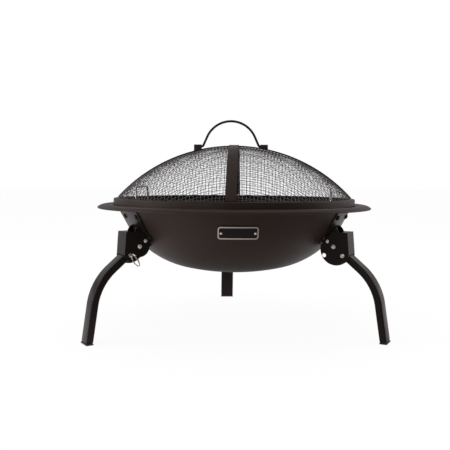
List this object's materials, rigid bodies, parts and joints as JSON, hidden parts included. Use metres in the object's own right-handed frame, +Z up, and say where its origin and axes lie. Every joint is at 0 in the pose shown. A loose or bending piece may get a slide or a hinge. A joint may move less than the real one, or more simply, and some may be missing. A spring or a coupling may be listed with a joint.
{
  "type": "folding fire pit",
  "caption": "Portable fire pit: a dished steel bowl on bent legs that fold under it with pull-pin locks, a cooking grill inside and a wire mesh dome lid with a bail.",
  "frame": {"origin": "on the bowl's axis, at the floor that the feet stand on", "axes": "+Z up, +Y towards the back leg, -Y towards the badge"},
  "size_m": [0.5832, 0.6074, 0.4273],
  "materials": {
    "satin_paint": "satin heat-resistant black",
    "gloss_paint": "gloss black",
    "bright_steel": "bright zinc",
    "mesh_wire": "black wire",
    "grill_chrome": "chrome wire",
    "foot_plastic": "matte black"
  },
  "bodies": {
    "bowl_body": {"bowl": "satin_paint", "badge_plate": "bright_steel", "badge_rivets": "bright_steel", "bracket_bolts": "gloss_paint", "bracket_nuts": "bright_steel", "bracket_back": "gloss_paint", "bracket_left": "gloss_paint", "bracket_right": "gloss_paint", "housing_back": "gloss_paint", "housing_left": "gloss_paint", "housing_right": "gloss_paint", "housing_rivet_back": "bright_steel", "housing_rivet_left": "bright_steel", "housing_rivet_right": "bright_steel", "pivot_bolt_back": "bright_steel", "pivot_bolt_left": "bright_steel", "pivot_bolt_right": "bright_steel", "pivot_nut_back": "bright_steel", "pivot_nut_left": "bright_steel", "pivot_nut_right": "bright_steel"},
    "leg_back": {"leg_tube_back": "gloss_paint", "foot_plug_back": "foot_plastic"},
    "leg_left": {"leg_tube_left": "gloss_paint", "foot_plug_left": "foot_plastic"},
    "leg_right": {"leg_tube_right": "gloss_paint", "foot_plug_right": "foot_plastic"},
    "pin_back": {"lock_pin_back": "bright_steel"},
    "pin_left": {"lock_pin_left": "bright_steel"},
    "pin_right": {"lock_pin_right": "bright_steel"},
    "ring_back": {"pin_ring_back": "bright_steel"},
    "ring_left": {"pin_ring_left": "bright_steel"},
    "ring_right": {"pin_ring_right": "bright_steel"},
    "lid": {"lid_rim": "satin_paint", "mesh_warp": "mesh_wire", "mesh_weft": "mesh_wire", "strap_side_to_side": "satin_paint", "strap_front_to_back": "satin_paint", "saddle_left": "satin_paint", "saddle_right": "satin_paint", "saddle_rivets": "bright_steel"},
    "bail": {"bail": "satin_paint"},
    "grill": {"grill_ring": "grill_chrome", "grill_bars": "grill_chrome", "grill_handles": "grill_chrome"}
  },
  "joints": [
    {"name": "leg_fold_back", "type": "hinge", "parent": "bowl_body", "child": "leg_back", "pos_m": [0, 0.22305, 0.178], "axis": [-1, 0, 0], "range_deg": [0, 97]},
    {"name": "leg_fold_left", "type": "hinge", "parent": "bowl_body", "child": "leg_left", "pos_m": [-0.19317, -0.11153, 0.178], "axis": [0.5, -0.866, 0], "range_deg": [0, 97]},
    {"name": "leg_fold_right", "type": "hinge", "parent": "bowl_body", "child": "leg_right", "pos_m": [0.19317, -0.11153, 0.178], "axis": [0.5, 0.866, 0], "range_deg": [0, 97]},
    {"name": "pin_pull_back", "type": "slide", "parent": "bowl_body", "child": "pin_back", "axis": [-1, 0, 0], "range_m": [0, 0.046]},
    {"name": "pin_pull_left", "type": "slide", "parent": "bowl_body", "child": "pin_left", "axis": [0.5, -0.866, 0], "range_m": [0, 0.046]},
    {"name": "pin_pull_right", "type": "slide", "parent": "bowl_body", "child": "pin_right", "axis": [0.5, 0.866, 0], "range_m": [0, 0.046]},
    {"name": "ring_lift_back", "type": "hinge", "parent": "pin_back", "child": "ring_back", "pos_m": [-0.02418, 0.24232, 0.16206], "axis": [0, 0.9063, -0.4226], "range_deg": [0, 80]},
    {"name": "ring_lift_left", "type": "hinge", "parent": "pin_left", "child": "ring_left", "pos_m": [-0.19776, -0.1421, 0.16206], "axis": [-0.7849, -0.4532, -0.4226], "range_deg": [0, 80]},
    {"name": "ring_lift_right", "type": "hinge", "parent": "pin_right", "child": "ring_right", "pos_m": [0.22194, -0.10022, 0.16206], "axis": [0.7849, -0.4532, -0.4226], "range_deg": [0, 80]},
    {"name": "lid_lift", "type": "slide", "parent": "bowl_body", "child": "lid", "axis": [0, 0, 1], "range_m": [0, 0.15]},
    {"name": "bail_swing", "type": "hinge", "parent": "lid", "child": "bail", "pos_m": [0, 0, 0.37286], "axis": [0.9973, -0.0732, 0], "range_deg": [-80, 80]},
    {"name": "grill_lift", "type": "slide", "parent": "bowl_body", "child": "grill", "axis": [0, 0, 1], "range_m": [0, 0.005]}
  ]
}
